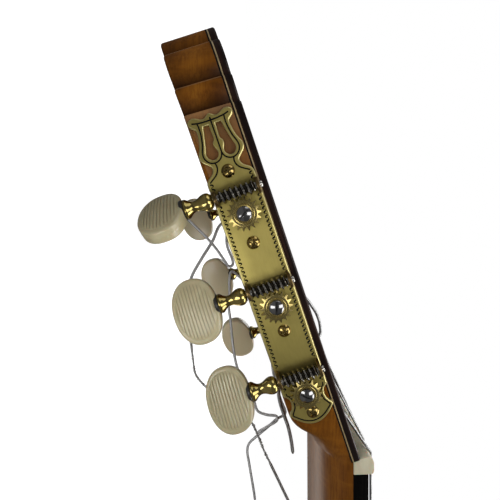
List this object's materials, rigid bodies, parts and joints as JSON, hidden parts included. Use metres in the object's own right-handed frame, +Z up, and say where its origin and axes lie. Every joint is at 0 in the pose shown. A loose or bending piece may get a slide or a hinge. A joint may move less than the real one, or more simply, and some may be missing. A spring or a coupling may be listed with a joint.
{
  "type": "flamenco guitar",
  "caption": "Flamenco guitar with a slotted, stepped head, open worm-geared tuning machines with oval buttons on engraved brass plates, and loose string ends.",
  "frame": {"origin": "middle of the length and width, at the back's underside, on which the guitar lies", "axes": "+Y along the neck to the head, +X to the treble side (the player's first string), +Z up and out of the soundboard and strings"},
  "size_m": [0.3622, 0.9857, 0.1047],
  "materials": {
    "cedar": "gloss lacquer",
    "rosewood": "gloss",
    "ebony": "satin",
    "bone": "satin",
    "spruce": "gloss lacquer",
    "cypress": "gloss lacquer",
    "bare_wood": "matte",
    "brass": "brushed and engraved",
    "steel": "satin",
    "ivory_plastic": "gloss",
    "white_barrel": "gloss",
    "clear_plastic": "gloss",
    "wound_string": "fine ribbed",
    "nylon": "gloss"
  },
  "bodies": {
    "guitar": {"neck": "cedar", "head_faceplate": "rosewood", "nut": "bone", "fingerboard": "ebony", "soundboard": "spruce", "back": "cypress", "side_bass": "cypress", "side_treble": "cypress", "tail_block": "bare_wood", "bridge": "rosewood", "saddle": "bone", "tap_plate": "clear_plastic", "top_bracing": "bare_wood", "back_bracing": "bare_wood", "lining_top": "bare_wood", "lining_back": "bare_wood", "machine_plate_bass": "brass", "machine_plate_treble": "brass", "string_1": "nylon", "string_2": "nylon", "string_3": "nylon", "string_4": "wound_string", "string_5": "wound_string", "string_6": "wound_string", "string_end_1": "nylon", "string_end_2": "nylon", "string_end_3": "nylon", "string_end_4": "wound_string", "string_end_5": "wound_string", "string_end_6": "wound_string"},
    "button_6": {"worm_shaft_6": "steel", "button_6": "ivory_plastic"},
    "roller_6": {"roller_6": "white_barrel", "gear_6": "brass", "gear_screw_6": "steel"},
    "button_5": {"worm_shaft_5": "steel", "button_5": "ivory_plastic"},
    "roller_5": {"roller_5": "white_barrel", "gear_5": "brass", "gear_screw_5": "steel"},
    "button_4": {"worm_shaft_4": "steel", "button_4": "ivory_plastic"},
    "roller_4": {"roller_4": "white_barrel", "gear_4": "brass", "gear_screw_4": "steel"},
    "button_1": {"worm_shaft_1": "steel", "button_1": "ivory_plastic"},
    "roller_1": {"roller_1": "white_barrel", "gear_1": "brass", "gear_screw_1": "steel"},
    "button_2": {"worm_shaft_2": "steel", "button_2": "ivory_plastic"},
    "roller_2": {"roller_2": "white_barrel", "gear_2": "brass", "gear_screw_2": "steel"},
    "button_3": {"worm_shaft_3": "steel", "button_3": "ivory_plastic"},
    "roller_3": {"roller_3": "white_barrel", "gear_3": "brass", "gear_screw_3": "steel"}
  },
  "joints": [
    {"name": "button_turn_6", "type": "hinge", "parent": "guitar", "child": "button_6", "pos_m": [-0.03396, 0.36336, 0.07054], "axis": [0, 0.306, 0.952], "continuous": true},
    {"name": "roller_turn_6", "type": "hinge", "parent": "guitar", "child": "roller_6", "pos_m": [-0.03366, 0.35589, 0.07293], "axis": [-0.9993, -0.0362, 0.0116], "continuous": true},
    {"name": "button_turn_5", "type": "hinge", "parent": "guitar", "child": "button_5", "pos_m": [-0.03529, 0.39666, 0.05983], "axis": [0, 0.306, 0.952], "continuous": true},
    {"name": "roller_turn_5", "type": "hinge", "parent": "guitar", "child": "roller_5", "pos_m": [-0.03499, 0.38919, 0.06223], "axis": [-0.9993, -0.0362, 0.0116], "continuous": true},
    {"name": "button_turn_4", "type": "hinge", "parent": "guitar", "child": "button_4", "pos_m": [-0.03662, 0.42995, 0.04913], "axis": [0, 0.306, 0.952], "continuous": true},
    {"name": "roller_turn_4", "type": "hinge", "parent": "guitar", "child": "roller_4", "pos_m": [-0.03632, 0.42249, 0.05153], "axis": [-0.9993, -0.0362, 0.0116], "continuous": true},
    {"name": "button_turn_1", "type": "hinge", "parent": "guitar", "child": "button_1", "pos_m": [0.03396, 0.36336, 0.07054], "axis": [0, 0.306, 0.952], "continuous": true},
    {"name": "roller_turn_1", "type": "hinge", "parent": "guitar", "child": "roller_1", "pos_m": [0.03366, 0.35589, 0.07293], "axis": [0.9993, -0.0362, 0.0116], "continuous": true},
    {"name": "button_turn_2", "type": "hinge", "parent": "guitar", "child": "button_2", "pos_m": [0.03529, 0.39666, 0.05983], "axis": [0, 0.306, 0.952], "continuous": true},
    {"name": "roller_turn_2", "type": "hinge", "parent": "guitar", "child": "roller_2", "pos_m": [0.03499, 0.38919, 0.06223], "axis": [0.9993, -0.0362, 0.0116], "continuous": true},
    {"name": "button_turn_3", "type": "hinge", "parent": "guitar", "child": "button_3", "pos_m": [0.03662, 0.42995, 0.04913], "axis": [0, 0.306, 0.952], "continuous": true},
    {"name": "roller_turn_3", "type": "hinge", "parent": "guitar", "child": "roller_3", "pos_m": [0.03632, 0.42249, 0.05153], "axis": [0.9993, -0.0362, 0.0116], "continuous": true}
  ],
  "couplings": [
    {"joint": "roller_turn_6", "follows": "button_turn_6", "ratio": 0.055556},
    {"joint": "roller_turn_5", "follows": "button_turn_5", "ratio": 0.055556},
    {"joint": "roller_turn_4", "follows": "button_turn_4", "ratio": 0.055556},
    {"joint": "roller_turn_1", "follows": "button_turn_1", "ratio": -0.055556},
    {"joint": "roller_turn_2", "follows": "button_turn_2", "ratio": -0.055556},
    {"joint": "roller_turn_3", "follows": "button_turn_3", "ratio": -0.055556}
  ]
}
